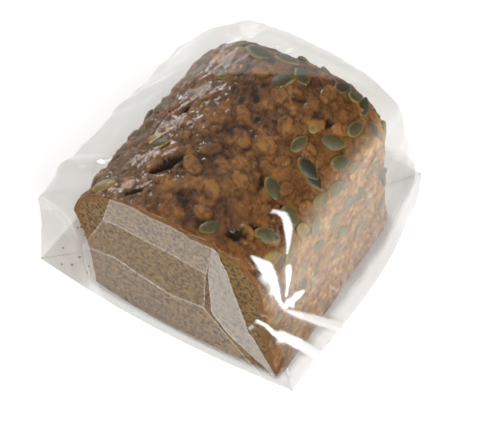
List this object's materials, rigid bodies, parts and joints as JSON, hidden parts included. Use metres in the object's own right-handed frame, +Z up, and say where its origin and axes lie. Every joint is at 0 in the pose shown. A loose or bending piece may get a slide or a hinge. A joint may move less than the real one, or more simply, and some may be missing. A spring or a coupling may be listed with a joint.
{
  "type": "loaf in bread bag",
  "caption": "Cut seeded tin loaf sealed in a clear film bag, lying flat: film pressed over crown and cut face, a wide gusset on one side and a folded-down back.",
  "frame": {"origin": "centre of the bag's outline box, on the table under it", "axes": "-Y is the way the loaf's cut face looks, +X towards the loaf's tight right side, -X towards the gusset, +Z up from the table"},
  "size_m": [0.156, 0.149, 0.1076],
  "materials": {
    "bag_film": "clear glossy film over a dark brown crust"
  },
  "bodies": {
    "root": {"bread_bag": "bag_film"}
  },
  "joints": []
}
